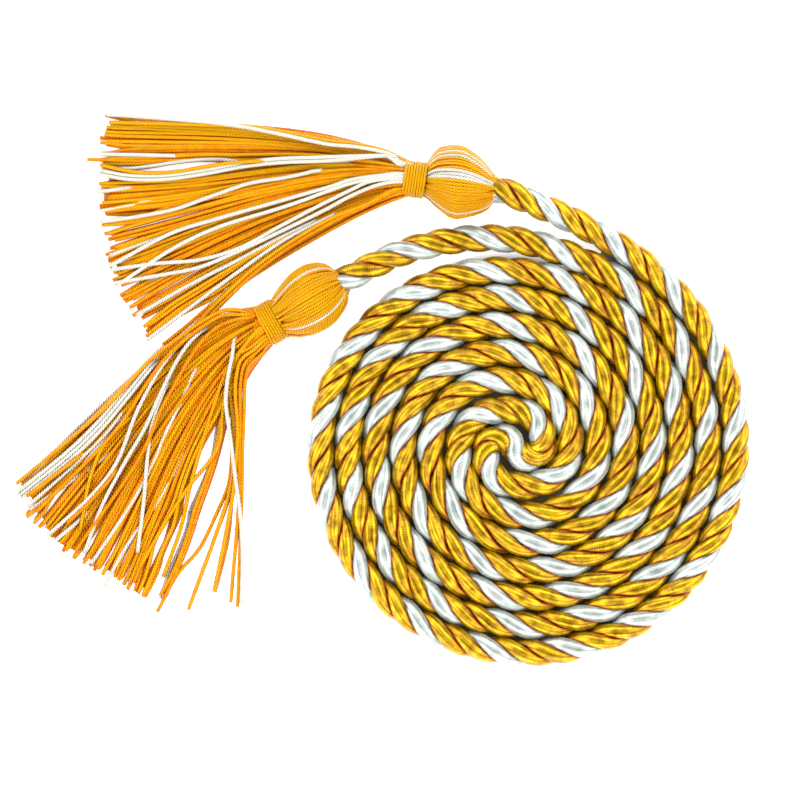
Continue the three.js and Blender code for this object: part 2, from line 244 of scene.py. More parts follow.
second_drawn = [
    {"white": False, "count": 1, "root": -4.7, "level": 1.2,
     "route": [(7, -66), (10.8, -53), (14.8, -37.6), (22.1, -22.3), (31, -13), (40, -5.6),
               (50, -1.4), (76, 2.6)]},
    {"white": False, "count": 1, "root": -4.4, "level": 1.3, "emerge": 52,
     "route": [(20, -24), (34, -3), (46, 8), (53, 14.2), (62, 15.4), (72, 15.2)]},
    {"white": False, "count": 1, "root": -4.5, "level": 1.35, "emerge": 57,
     "route": [(26, -16), (40, -1.6), (50, 3.4), (58, 5.2), (66, 5.6), (75.5, 5.8)]},
    {"white": True, "count": 1, "root": -3.4, "level": 0.8, "emerge": 66,
     "route": [(18, -10), (34, 6), (50, 13), (62, 16.6), (70, 16.5), (77.5, 15.9)]},
    {"white": False, "count": 1, "root": -4.3, "level": 1.2,
     "route": [(6.6, -58), (11, -45), (15.5, -30.5), (21, -19.6), (27, -11.4), (34, -3.4),
               (46, 5), (76, 9.4)]},
    {"white": False, "count": 1, "root": -3.6, "level": 1.15,
     "route": [(6.5, -48), (11, -32), (15, -20), (21, -6), (27, 3), (34, 9.2), (46, 16.6), (76, 20.2)]},
    {"white": False, "count": 1, "root": 4.6, "level": 0.9,
     "route": [(6.5, 62), (10.9, 40.2), (15.2, 42), (19.3, 45.4), (26, 48.8), (32.4, 50.6),
               (45, 53), (73, 54.9)]},
    {"white": False, "count": 1, "root": 4.0, "level": 1.0,
     "route": [(6.2, 50), (10.4, 33.5), (14.6, 37), (19, 41.8), (26, 46.9), (32.4, 49.2),
               (45, 52.1), (72, 53.4)]},
    {"white": False, "count": 1, "root": 3.2, "level": 1.1,
     "route": [(6.2, 40), (10.2, 26.5), (14.4, 31.5), (19, 37.8), (26, 45.4), (32.4, 48),
               (45, 49.9), (70, 49.6)]},
    {"white": False, "count": 1, "root": 2.4, "level": 0.8,
     "route": [(6.2, 30), (10.2, 18), (14.4, 25), (19, 33), (26, 42.8), (33, 46.8), (42, 48.6),
               (56, 47.2), (76, 45.3)]},
    {"white": True, "count": 1, "root": -1.4, "level": 1.2, "emerge": 8,
     "route": [(7.3, -12), (11, 13.6), (17, 27), (22, 34), (26, 39.6), (31, 44.5), (40, 49.8),
               (50, 53.4), (60, 55), (72, 55.6)]},
    {"white": True, "count": 1, "root": -3.9, "level": 1.1, "emerge": 14,
     "route": [(11, -38), (15, -28), (19, -19), (23, -10.3), (31, 2.3), (40, 10.5), (50, 14.5),
               (62, 18), (75, 21.8)]},
    {"white": True, "count": 1, "root": -4.1, "level": 1, "emerge": 27,
     "route": [(13, -30), (19, -16), (27, -2), (34, 7), (40, 13.2), (46, 19.2), (55, 25.8), (67, 31)]},
    {"white": True, "count": 1, "root": -4.3, "level": 1.1, "emerge": 19,
     "route": [(14.3, -35.4), (24, -14.9), (29, -7.5), (34, -1.3), (40, 4.5), (52, 13),
               (62, 14.6), (78, 14.2)]},
    {"white": True, "count": 3, "root": -4.5, "level": 1, "emerge": 28,
     "route": [(15, -35), (26, -17), (31, -11.5), (40, -3.6), (50, 1.4), (60, 3.6), (77, 4.8)]},
    {"white": True, "count": 1, "root": -2.6, "level": 0.6, "emerge": 18,
     "route": [(16, -9), (21, 2.3), (25, 8.5), (31, 13.9), (36, 16.8), (50, 22.4), (62, 23.7),
               (76, 24.1)]},
    {"white": True, "count": 1, "root": -2.2, "level": 0.5, "emerge": 30,
     "route": [(18, 4), (26, 18), (34, 25.4), (42, 28.6), (55, 28.9), (66, 28.2), (79, 28.6)]},
    {"white": True, "count": 1, "root": -4.6, "level": 0.8, "emerge": 40,
     "route": [(18, -24), (34, -5), (48, 4), (60, 6.2), (77, 7.4)]},
    {"white": True, "count": 1, "root": -3.6, "level": 0.5, "emerge": 50,
     "route": [(18, -16), (34, 4), (48, 9.5), (62, 9), (77, 8.2)]},
    {"white": False, "count": 1, "root": 1.2, "level": 0.3,
     "route": [(8, 22), (14, 34), (22, 42), (32, 47.5), (45, 49.7), (56, 50.6), (70, 49.8)]},
    {"white": False, "count": 1, "root": 1.0, "level": 0.3,
     "route": [(8, 19), (14, 32), (22, 41), (32, 46.6), (42, 48.8), (56, 47.2), (66, 46), (75, 45.3)]},
    {"white": False, "count": 1, "root": 0.8, "level": 0.3,
     "route": [(8, 16), (14, 29), (22, 39), (32, 45.4), (42, 47.6), (50, 46), (60, 44), (68, 41),
               (79, 39.7)]},
    {"white": False, "count": 1, "root": 0.0, "level": 0.9,
     "route": [(14, 24), (24, 34.5), (32, 39.4), (38, 38.2), (44, 35.6), (56, 33.6), (70, 33)]},
    {"white": False, "count": 1, "root": 0.4, "level": 0.9,
     "route": [(14, 20), (24, 28), (36, 33), (46, 35.6), (56, 37.8), (70, 38.3)]},
    {"white": False, "count": 1, "root": -1.0, "level": 1.1, "emerge": 40,
     "route": [(40, 4), (52, 7), (60, 11.5), (66, 15.4), (71, 18.2)]},
]

# Slots where the table shows between the locks, from one (distance, degrees) to another, with the
# width across the middles of the threads beside it
first_slots = [
    {"from": (44, 0.6), "to": (68, 5.4), "width": 2.6},
    {"from": (62, 14.2), "to": (92, 14.4), "width": 2.2},
    {"from": (69, -4.7), "to": (92, -3.9), "width": 2.0},
    {"from": (73, 0.9), "to": (89, 1.0), "width": 1.8},
    {"from": (73, 16.6), "to": (89, 16.4), "width": 1.8},
    {"from": (70, 28.5), "to": (90, 28.3), "width": 1.9},
    {"from": (68, 35.9), "to": (92, 35.7), "width": 2.0},
    {"from": (58, 38.0), "to": (94, 41.2), "width": 3.4},
]
second_slots = [
    {"from": (27, 35.6), "to": (52, 36.7), "width": 3.4},
    {"from": (50, 35.6), "to": (73, 33.8), "width": 2.6},
    {"from": (52, 39.3), "to": (68, 36.4), "width": 1.9},
    {"from": (69, 9.5), "to": (88, 9.8), "width": 1.9},
    {"from": (66, 21.2), "to": (92, 22.0), "width": 1.9},
]

# Half widths of the heads from the binding at 0 to the mouth at 1, on the tassel's right and left
first_head = [
    {"along": 0.0, "right": 4.9, "left": 4.2},
    {"along": 0.07, "right": 7.7, "left": 5.0},
    {"along": 0.15, "right": 9.2, "left": 6.2},
    {"along": 0.27, "right": 9.9, "left": 7.6},
    {"along": 0.38, "right": 10.2, "left": 8.8},
    {"along": 0.49, "right": 10.0, "left": 9.2},
    {"along": 0.61, "right": 9.0, "left": 8.6},
    {"along": 0.73, "right": 7.7, "left": 7.8},
    {"along": 0.84, "right": 6.0, "left": 6.9},
    {"along": 0.93, "right": 4.3, "left": 5.7},
    {"along": 1.0, "right": 3.4, "left": 3.6},
]
second_head = [
    {"along": 0.0, "right": 5.2, "left": 5.9},
    {"along": 0.12, "right": 6.4, "left": 7.5},
    {"along": 0.27, "right": 7.5, "left": 8.5},
    {"along": 0.4, "right": 8.3, "left": 8.8},
    {"along": 0.55, "right": 8.7, "left": 8.8},
    {"along": 0.68, "right": 8.7, "left": 8.4},
    {"along": 0.84, "right": 7.8, "left": 7.1},
    {"along": 0.94, "right": 6.4, "left": 5.8},
    {"along": 1.0, "right": 3.8, "left": 3.8},
]

# White lines are places across a head, from -1 at its right edge to 1 at its left.
tassels = [
    {
        "name": "tassel_a", "mouth": first_tail_points[-1], "bearing": rad(173.2),
        "binding_length": 5.8, "binding_width": 9.6, "binding_height": 9.0, "windings": 8,
        "locks": first_locks, "drawn": first_drawn, "slots": first_slots,
        "head_length": 17.7, "head_height": 15.5, "head": first_head, "head_threads": 66,
        "white_lines": [-0.85, -0.73, -0.34, -0.26, -0.18, 0.89],
    },
    {
        "name": "tassel_b", "mouth": second_tail_points[-1], "bearing": rad(209.8),
        "binding_length": 4.9, "binding_width": 11.6, "binding_height": 8.4, "windings": 7,
        "locks": second_locks, "drawn": second_drawn, "slots": second_slots,
        "head_length": 18.2, "head_height": 15.0, "head": second_head, "head_threads": 62,
        "white_lines": [-0.79, 0.72, 0.99],
    },
]

# The table. The coil's outer edge is a spiral that starts where the tails part. Inside it the table is
# painted dark, as painted shade in the gaps between the turns. Outside it the table glows a little, as
# painted light that washes out the shadows round the cord.
table_half_width = 1500
coil_edge_bearing = rad(66)
coil_edge_radius = 49.0

# Points that a smooth line has for each of its chosen points
points_per_span = 8


def unit(vectors):
    return vectors / np.maximum(np.linalg.norm(vectors, axis=-1, keepdims=True), 1e-9)


def smoothstep(x, low, high):
    share = np.clip((np.asarray(x, float) - low) / (high - low), 0.0, 1.0)
    return share * share * (3 - 2 * share)


def lerp(a, b, share):
    return a + (b - a) * share


def through(points):
    """A smooth line through points, a centripetal Catmull-Rom spline, with its ends carried on."""
    points = np.asarray(points, float)
    padded = np.vstack([2 * points[0] - points[1], points, 2 * points[-1] - points[-2]])
    line = []
    for a, b, c, d in zip(padded, padded[1:], padded[2:], padded[3:]):
        steps = [math.sqrt(np.linalg.norm(q - p)) for p, q in ((a, b), (b, c), (c, d))]
        knots = np.cumsum([0.0] + steps)
        span = knots[2] - knots[1]
        slope_b = (c - b) / span - (c - a) / knots[2] + (b - a) / knots[1]
        slope_c = (d - c) / (knots[3] - knots[2]) - (d - b) / (knots[3] - knots[1]) + (c - b) / span
        for i in range(points_per_span):
            t = i / points_per_span
            line.append(
                (2 * t**3 - 3 * t**2 + 1) * b + (t**3 - 2 * t**2 + t) * span * slope_b
                + (3 * t**2 - 2 * t**3) * c + (t**3 - t**2) * span * slope_c
            )
    line.append(points[-1])
    return np.array(line)


def evenly(line, count):
    """The same line with its points the same distance apart."""
    run = np.concatenate([[0.0], np.cumsum(np.linalg.norm(np.diff(line, axis=0), axis=1))])
    places = np.linspace(0.0, run[-1], count)
    return np.stack([np.interp(places, run, line[:, k]) for k in range(line.shape[1])], axis=1)


def length_of(line):
    return float(np.linalg.norm(np.diff(line, axis=0), axis=1).sum())


def left_of(line):
    """The direction to the left of a flat line, at each of its points."""
    ahead = unit(np.gradient(line, axis=0))
    return np.column_stack([-ahead[:, 1], ahead[:, 0]])


# The camera comes first, straight above the table.
def make_camera():
    data = bpy.data.cameras.new("camera")
    data.lens = lens
    data.sensor_width = sensor
    data.clip_start = 0.05
    data.clip_end = 20
    camera = bpy.data.objects.new("camera", data)
    place = (fold_middle + view_middle) * MM
    camera.location = (place[0], place[1], view_width * MM * lens / sensor)
    bpy.context.collection.objects.link(camera)
    bpy.context.scene.camera = camera


make_camera()


# Shaders
def add_node(tree, kind, inputs=None, **settings):
    """A node with its settings, its inputs set to a value or joined to another node's output."""
    made = tree.nodes.new(kind)
    for name, value in settings.items():
        setattr(made, name, value)
    for name, value in (inputs or {}).items():
        if isinstance(value, bpy.types.NodeSocket):
            tree.links.new(value, made.inputs[name])
        else:
            made.inputs[name].default_value = value
    return made


def math_of(tree, kind, *values):
    """A Math node of one kind on one or two values, as its output."""
    return add_node(tree, "ShaderNodeMath", dict(enumerate(values)), operation=kind).outputs[0]


def ramp_of(tree, value, stops):
    """A colour ramp over a value. Stops are (place, colour)."""
    ramp = add_node(tree, "ShaderNodeValToRGB", {"Fac": value})
    marks = ramp.color_ramp.elements
    while len(marks) < len(stops):
        marks.new(0.5)
    for mark, (place, colour) in zip(marks, stops):
        mark.position = place
        mark.color = (*colour, 1.0)
    return ramp.outputs["Color"]


def mixed(tree, how, share, a, b):
    """Two colours mixed in one way, as an output."""
    made = add_node(tree, "ShaderNodeMix", data_type="RGBA", blend_type=how)
    for socket, value in ((made.inputs[0], share), (made.inputs[6], a), (made.inputs[7], b)):
        if isinstance(value, bpy.types.NodeSocket):
            tree.links.new(value, socket)
        else:
            socket.default_value = value if isinstance(value, float) else (*value, 1.0)
    return made.outputs[2]


def shaded(tree, base, share, value, low, shade, high):
    """A colour times a shade where a value is low, and as it was where the value is high."""
    shades = ramp_of(tree, value, [(low, shade), (high, (1.0, 1.0, 1.0))])
    return mixed(tree, "MULTIPLY", share, base, shades)


def noise_of(tree, place, scale, detail):
    inputs = {"Vector": place, "Scale": scale, "Detail": detail}
    return add_node(tree, "ShaderNodeTexNoise", inputs).outputs["Fac"]


def place_on_tube(tree):
    """The run along a tube in mm, the way round it, and how far to the outside a point is, from 0
    to 1. The way round is 0.5 on the outside."""
    uv = add_node(tree, "ShaderNodeUVMap").outputs["UV"]
    parts = add_node(tree, "ShaderNodeSeparateXYZ", {"Vector": uv}).outputs
    turn = math_of(tree, "COSINE", math_of(tree, "MULTIPLY", parts["Y"], 2 * math.pi))
    outward = math_of(tree, "ADD", math_of(tree, "MULTIPLY", turn, -0.5), 0.5)
    return parts["X"], parts["Y"], outward


def new_material(name):
    material = bpy.data.materials.new(name)
    material.use_nodes = True
    tree = material.node_tree
    return material, tree, tree.nodes["Principled BSDF"]


def wave(tree, along, around, ridge, starts):
    """Ridges that wind round a thread: 1 on a ridge, 0 between, with starts ridges side by side."""
    turns = math_of(tree, "MULTIPLY", around, float(starts))
    run = math_of(tree, "ADD", math_of(tree, "DIVIDE", along, ridge), turns)
    swing = math_of(tree, "SINE", math_of(tree, "MULTIPLY", run, 2 * math.pi))
    return math_of(tree, "ADD", math_of(tree, "MULTIPLY", swing, 0.5), 0.5)


def strand_material(name, stops, groove_shade, streak, rib_shade, roughness, metallic):
    """Glossy yarns lying side by side in a strand, wrapped with fine filament. The colour is painted
    darker towards the inside of the rope, down to near black, as painted shade in the crease where two
    strands meet. The yarns show as ridges round the strand. The grooves between them and the troughs
    between the filament's turns carry painted shade."""
    material, tree, shader = new_material(name)
    along, around, outward = place_on_tube(tree)
    place = add_node(tree, "ShaderNodeTexCoord").outputs["Object"]
    cloudy = noise_of(tree, place, 420.0, 2.0)
    ribs = wave(tree, along, around, filament_spacing, 1)
    yarns = wave(tree, along, around, strand_in_turn / strand_yarns, strand_yarns)
    untwisted = math_of(tree, "ADD", around, math_of(tree, "DIVIDE", along, strand_in_turn))
    fibre_place = add_node(tree, "ShaderNodeCombineXYZ", {
        "X": math_of(tree, "MULTIPLY", along, fibre_shortness),
        "Y": math_of(tree, "MULTIPLY", untwisted, fibre_streaks),
    })
    fibres = noise_of(tree, fibre_place.outputs[0], 1.0, 3.0)
    # Painted shade: the colour darkens towards the inside of the rope, to near black in the crease
    # between strands.
    base = ramp_of(tree, outward, stops)
    # Painted shade in the grooves between the yarns.
    base = shaded(tree, base, 1.0, yarns, 0.0, groove_shade, 0.26)
    base = shaded(tree, base, 1.0, cloudy, 0.32, streak, 0.62)
    base = shaded(tree, base, 0.8, fibres, 0.3, streak, 0.58)
    # Painted shade in the troughs between the filament's turns.
    base = shaded(tree, base, 0.3, ribs, 0.0, rib_shade, 0.6)
    tree.links.new(base, shader.inputs["Base Color"])
    fine = math_of(tree, "ADD", math_of(tree, "MULTIPLY", ribs, 0.2), fibres)
    relief = math_of(tree, "ADD", math_of(tree, "MULTIPLY", yarns, 0.5), fine)
    bump = add_node(tree, "ShaderNodeBump", {"Height": relief, "Distance": 0.18 * MM, "Strength": 0.8})
    tree.links.new(bump.outputs["Normal"], shader.inputs["Normal"])
    shader.inputs["Roughness"].default_value = roughness
    shader.inputs["Metallic"].default_value = metallic
    shader.inputs["Specular IOR Level"].default_value = 0.25
    return material


def thread_material(name, stops, groove_shade, flank_painted_shade, flank_painted_shade_reach, shine, roughness):
    """A thread of yarns twisted together. Each thread's tone is in the mesh as its shade attribute. Its
    colour is painted darker down its flanks, as painted shade where it lies against the next, and in
    the grooves of its twist, as painted shade."""
    material, tree, shader = new_material(name)
    along, around, outward = place_on_tube(tree)
    shade = add_node(tree, "ShaderNodeAttribute", attribute_name="shade").outputs["Fac"]
    twist = wave(tree, along, around, thread_yarn_spacing, thread_yarns)
    place = add_node(tree, "ShaderNodeTexCoord").outputs["Object"]
    patch = math_of(tree, "MULTIPLY", noise_of(tree, place, 500.0, 2.0), 0.5)
    tone = math_of(tree, "ADD", patch, math_of(tree, "MULTIPLY", shade, 0.5))
    base = ramp_of(tree, tone, stops)
    # Painted shade in the grooves of the thread's twist.
    base = shaded(tree, base, 1.0, twist, 0.0, groove_shade, 0.6)
    # Painted shade: the colour deepens down the thread's flanks and underside, away from its top.
    base = shaded(tree, base, 1.0, outward, flank_painted_shade_reach[0], flank_painted_shade, flank_painted_shade_reach[1])
    tree.links.new(base, shader.inputs["Base Color"])
    bump = add_node(tree, "ShaderNodeBump", {"Height": twist, "Distance": 0.19 * MM, "Strength": 1.0})
    tree.links.new(bump.outputs["Normal"], shader.inputs["Normal"])
    shader.inputs["Roughness"].default_value = roughness
    shader.inputs["Specular IOR Level"].default_value = 0.7
    shader.inputs["Specular Tint"].default_value = (*shine, 1.0)
    return material


# The strands' colours by how far to the outside. The low stops, down to near black, are painted shade
# in the crease where two strands meet. Then come the painted shade in the yarns' grooves, the streak
# colour, the painted shade in the filament's troughs, the roughness and the metallic.
gold_strand = strand_material(
    "gold_strand",
    [
        (0.28, (0.012, 0.0005, 0.0005)),
        (0.45, (0.12, 0.006, 0.0005)),
        (0.55, (0.32, 0.075, 0.0005)),
        (0.64, (0.46, 0.22, 0.001)),
        (0.76, (0.49, 0.325, 0.003)),
    ],
    (0.48, 0.38, 0.12), (0.5, 0.38, 0.15), (0.55, 0.45, 0.35), 0.24, 0.6,
)
# The white strand likewise, with painted shade in its crease, in the yarns' grooves and in the
# filament's troughs.
white_strand = strand_material(
    "white_strand",
    [
        (0.28, (0.012, 0.008, 0.007)),
        (0.39, (0.17, 0.145, 0.12)),
        (0.48, (0.38, 0.37, 0.33)),
        (0.68, (0.42, 0.43, 0.4)),
    ],
    (0.62, 0.68, 0.7), (0.64, 0.7, 0.69), (0.78, 0.8, 0.84), 0.27, 0.45,
)
# Gold threads: tones from deep red-orange to yellow. The deep end carries the lower layer's painted
# shade. Then come the painted shade in the twist's grooves and down the flanks, where that shade starts
# and ends, the specular tint and the roughness.
gold_thread = thread_material(
    "gold_thread",
    [
        (0.25, (0.43, 0.075, 0.0002)),
        (0.42, (0.47, 0.15, 0.0002)),
        (0.6, (0.48, 0.22, 0.0003)),
        (0.8, (0.43, 0.248, 0.0005)),
    ],
    (0.66, 0.28, 0.08), (0.86, 0.29, 0.05), (0.66, 0.93), (1.0, 0.85, 0.04), 0.36,
)
winding_thread = thread_material(
    "winding_thread",
    [
        (0.3, (0.49, 0.205, 0.0002)),
        (0.7, (0.51, 0.25, 0.0004)),
    ],
    (0.74, 0.55, 0.3), (0.5, 0.19, 0.04), (0.6, 0.9), (1.0, 0.85, 0.04), 0.36,
)
white_thread = thread_material(
    "white_thread",
    [
        (0.25, (0.44, 0.41, 0.35)),
        (0.58, (0.52, 0.505, 0.45)),
        (0.78, (0.45, 0.435, 0.385)),
    ],
    (0.44, 0.41, 0.34), (0.7, 0.66, 0.56), (0.6, 0.88), (1.0, 1.0, 0.95), 0.4,
)


# Meshes
def sweep(lines, outs, radii, sides):
    """Tubes along lines, an array of (tube, station, xyz). outs points to the outside of each ring,
    where its way round is half way, and radii holds each ring's half size outward and across."""
    lines = np.asarray(lines, float)
    ahead = unit(np.gradient(lines, axis=1))
    out = unit(outs - (outs * ahead).sum(-1, keepdims=True) * ahead)
    across = np.cross(ahead, out)
    angle = 2 * np.pi * np.arange(sides) / sides + np.pi
    return (
        lines[:, :, None, :]
        + np.cos(angle)[:, None] * out[:, :, None, :] * radii[..., None, None, 0]
        + np.sin(angle)[:, None] * across[:, :, None, :] * radii[..., None, None, 1]
    )


def mesh_of(name, rings, materials, material_of_tube, shade_of_tube=None):
    """An object made of closed tubes, with the run in mm and the way round as its UV."""
    tubes, stations, sides = rings.shape[:3]
    index = np.arange(tubes * stations * sides).reshape(tubes, stations, sides)
    following = np.roll(index, -1, axis=2)
    quad_corners = [index[:, :-1], following[:, :-1], following[:, 1:], index[:, 1:]]
    quads = np.stack(quad_corners, axis=-1).reshape(-1, 4)
    start_caps = index[:, 0, ::-1]
    end_caps = index[:, -1]
    faces = quads.tolist() + start_caps.tolist() + end_caps.tolist()
    mesh = bpy.data.meshes.new(name)
    mesh.from_pydata((rings.reshape(-1, 3) * MM).tolist(), [], faces)
    centres = rings.mean(axis=2)
    steps = np.linalg.norm(np.diff(centres, axis=1), axis=-1)
    run = np.concatenate([np.zeros((tubes, 1)), np.cumsum(steps, axis=1)], axis=1)
    u = np.broadcast_to(run[:, :, None], (tubes, stations, sides + 1))
    v = np.broadcast_to(np.arange(sides + 1) / sides, (tubes, stations, sides + 1))
    uv = np.stack([u, v], axis=-1)
    uv_corners = [uv[:, :-1, :-1], uv[:, :-1, 1:], uv[:, 1:, 1:], uv[:, 1:, :-1]]
    quad_uv = np.stack(uv_corners, axis=3).reshape(-1, 2)
    start_uv = uv[:, 0, sides - 1 :: -1].reshape(-1, 2)
    end_uv = uv[:, -1, :sides].reshape(-1, 2)
    layer = mesh.uv_layers.new(name="UVMap")
    every_uv = np.concatenate([quad_uv, start_uv, end_uv])
    layer.data.foreach_set("uv", every_uv.astype(np.float32).ravel())
    kind = np.asarray(material_of_tube, np.int32)
    per_quad = np.repeat(kind, (stations - 1) * sides)
    mesh.polygons.foreach_set("material_index", np.concatenate([per_quad, kind, kind]))
    smooth = np.ones(len(faces), bool)
    smooth[len(quads) :] = False
    mesh.polygons.foreach_set("use_smooth", smooth)
    if shade_of_tube is not None:
        shade = mesh.attributes.new("shade", "FLOAT", "POINT")
        shades = np.repeat(np.asarray(shade_of_tube, np.float32), stations * sides)
        shade.data.foreach_set("value", shades)
    for material in materials:
        mesh.materials.append(material)
    mesh.update()
    made = bpy.data.objects.new(name, mesh)
    bpy.context.collection.objects.link(made)
    return made


# The rope
def fold_half(bearing):
    centre = fold_radius * np.array([math.cos(bearing), math.sin(bearing)])
    angles = bearing - math.pi + math.pi * np.arange(1, fold_stations + 1) / fold_stations
    return centre + fold_radius * np.stack([np.cos(angles), np.sin(angles)], axis=1)


def arm(bearing, sweep_angle):
    turned = station_turn * np.arange(1, round(sweep_angle / station_turn) + 1)
    angle = bearing + turned
    oval = oval_stretch * np.minimum(1, turned / (2 * math.pi)) * np.cos(2 * (angle - oval_bearing))
    radius = 2 * fold_radius + turn_spacing * turned / math.pi + oval
    return radius[:, None] * np.stack([np.cos(angle), np.sin(angle)], axis=1)


def nestled(points):
    """The turns on both sides of the fold press in against it, so little of the table shows."""
    axis = np.array([math.cos(gap_bearing), math.sin(gap_bearing)])
    for side in (1, -1):
        reach = points - side * gap_distance * axis
        pull = nestle_share * np.exp(-(reach**2).sum(axis=1) / (2 * nestle_reach**2))
        points = points - (pull * (reach @ axis))[:, None] * axis
    return points


def tail(points, bearing):
    """A free tail rises over its last stretch into its tassel's mouth, and on into its seat."""
    points = np.asarray(points, float)
    left = np.linalg.norm(points - points[-1], axis=1)
    rise = smoothstep(tail_rise_length - left, 0, tail_rise_length)
    height = lerp(rope_radius, mouth_height, rise)
    line = np.column_stack([points, height])
    seat = line[-1] + seat_depth * np.array([math.cos(bearing), math.sin(bearing), 0])
    return np.vstack([line, seat])


def rope_line():
    first = np.vstack([fold_half(fold_bearing), arm(fold_bearing, first_arm_sweep)])
    second_bearing = fold_bearing - math.pi
    second = np.vstack([[0.0, 0.0], fold_half(second_bearing), arm(second_bearing, second_arm_sweep)])
    coil = nestled(np.vstack([first[::-1], second]))
    coil = np.column_stack([coil, np.full(len(coil), rope_radius)])
    route = np.vstack([
        tail(first_tail_points, tassels[0]["bearing"])[::-1],
        coil,
        tail(second_tail_points, tassels[1]["bearing"]),
    ])
    line = through(route) + fold_middle
    return evenly(line, round(length_of(line) / rope_step) + 1)


def make_rope():
    line = rope_line()
    run = rope_step * np.arange(len(line))
    ahead = unit(np.gradient(line, axis=0))
    side = unit(np.cross([0.0, 0.0, 1.0], ahead))
    up = np.cross(ahead, side)
    lines = []
    outs = []
    turns = np.interp(run, [row["run"] for row in rope_turns], [row["turns"] for row in rope_turns])
    from_fold = np.linalg.norm((line - fold_middle)[:, :2], axis=1)
    swell = 1 + fold_swell * np.exp(-((from_fold / fold_swell_reach) ** 2))
    line[:, 2] *= swell
    for strand in range(3):
        angle = 2 * np.pi * (turns + strand / 3 + 0.25)
        out = np.cos(angle)[:, None] * side + np.sin(angle)[:, None] * up
        lines.append(line + (lay_radius * swell)[:, None] * out)
        outs.append(out)
    radii = np.empty((3, len(line), 2))
    radii[..., 0] = strand_half_deep * swell
    radii[..., 1] = strand_half_wide * swell
    rings = sweep(np.array(lines), np.array(outs), radii, strand_sides)
    rope = mesh_of("cord_strands", rings, [gold_strand, white_strand], [1, 0, 0])
    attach(rope, "root")
    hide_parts("cord")


make_rope()


# The tassels. Each is worked out in its own frame: the mouth at 0, the skirt towards +X.
def placed(tassel, points):
    turn = np.array([
        [math.cos(tassel["bearing"]), -math.sin(tassel["bearing"]), 0],
        [math.sin(tassel["bearing"]), math.cos(tassel["bearing"]), 0],
        [0, 0, 1],
    ])
    return points @ turn.T + np.array([*tassel["mouth"], 0]) + fold_middle


def axis_height(tassel, share):
    """Height of the tassel's middle line, from the binding at 0 to the mouth at 1."""
    neck = tassel["binding_height"] / 2 + 0.3
    belly = tassel["head_height"] / 2
    low = lerp(neck, belly, smoothstep(share, 0, 0.5))
    high = lerp(belly, mouth_height, smoothstep(share, 0.5, 1))
    return np.where(np.asarray(share) < 0.5, low, high)


def neck_half_size(tassel):
    return tassel["binding_width"] / 2 - binding_wall, tassel["binding_height"] / 2 - binding_wall


def bundle_height(tassel, share):
    """Thickness of the skirt, from the neck at 0 to the tips at 1."""
    return lerp(2 * neck_half_size(tassel)[1], skirt_tip_thickness, np.asarray(share) ** 0.6)


def skirt_start(tassel):
    return tassel["head_length"] + tassel["binding_length"]


def skirt_place(tassel, distance, degrees):
    """A place on the skirt, by its distance and direction from the end of the binding."""
    origin = skirt_start(tassel)
    return np.array([origin + distance * math.cos(rad(degrees)), distance * math.sin(rad(degrees))])


def parted(tassel, line):
    """A thread's line bent aside where a slot opens between the locks."""
    for slot in tassel["slots"]:
        start = skirt_place(tassel, *slot["from"])
        span = skirt_place(tassel, *slot["to"]) - start
        ahead = unit(span)
        left = np.array([-ahead[1], ahead[0]])
        along = (line - start) @ ahead / np.linalg.norm(span)
        aside = (line - start) @ left
        side = 1 if aside[np.argmin(np.abs(along - 0.5))] > 0 else -1
        half = slot["width"] / 2 * np.sin(np.pi * np.clip(along, 0, 1)) ** 0.7
        line = line + left * (side * half * np.exp(-np.abs(aside) / (0.6 + half)))[:, None]
    return line


def lock_thread(tassel, number, thread):
    """One thread of a lock. The threads lie side by side in two layers, the odd ones on top."""
    lock = tassel["locks"][number]
    layer = thread % 2
    slot = (thread // 2 + 0.5 * layer + 0.25 + shuffle.uniform(-0.2, 0.2)) / (lock["threads"] / 2)
    place = 2 * (number + slot) / len(tassel["locks"]) - 1
    rank = 0.5 * layer + shuffle.uniform(0.04, 0.48)
    neck_wide, neck_high = neck_half_size(tassel)
    origin = skirt_start(tassel)
    reach = (lock["length"] + shuffle.uniform(-0.022, 0.014)) * thread_reach
    share = np.linspace(0.0, 1.0, thread_stations) ** 1.25
    tip_turn = rad(lock["turn"])
    leave = rad(lock["leave"])
    arrive = rad(lock["turn"] + lock["bend"])
    start = np.array([origin - binding_hold, place * neck_wide * neck_fill])
    tip = np.array([origin + reach * math.cos(tip_turn), reach * math.sin(tip_turn)])
    knots = [
        start,
        start + reach * lock_leave_share * np.array([math.cos(leave), math.sin(leave)]),
        tip - reach * lock_arrive_share * np.array([math.cos(arrive), math.sin(arrive)]),
        tip,
    ]
    weights = np.stack(
        [(1 - share) ** 3, 3 * share * (1 - share) ** 2, 3 * share**2 * (1 - share), share**3], axis=1
    )
    line = weights @ np.array(knots)
    left = left_of(line)
    drift = shuffle.choice([0.08, 0.08, 0.4]) * shuffle.uniform(-1, 1)
    half = lerp(lock_neck_half_width, lock["width"] * lock_tip_width / 2, share**0.75)
    swing_size = 0.25 * math.sin(shuffle.uniform(0, 6))
    swing = swing_size * np.sin(2 * np.pi * share * shuffle.uniform(0.7, 1.6))
    curl = shuffle.gauss(0, 0.4) * np.clip((share - 0.86) / 0.14, 0, 1) ** 2
    offset = (2 * slot - 1 + drift * share) * half + swing * smoothstep(share, 0.1, 0.4) + curl
    line = parted(tassel, line + left * offset[:, None])
    round_off = math.sqrt(max(0.0, 1 - place**2 * 0.8))
    in_neck = axis_height(tassel, 0.0) + (2 * rank - 1) * neck_high * neck_fill * round_off
    lying = thread_radius + rank * (bundle_height(tassel, share) - 2 * thread_radius)
    height = lerp(in_neck, lying, smoothstep(share, 0, lock_settle_share))
    return np.column_stack([line, height])


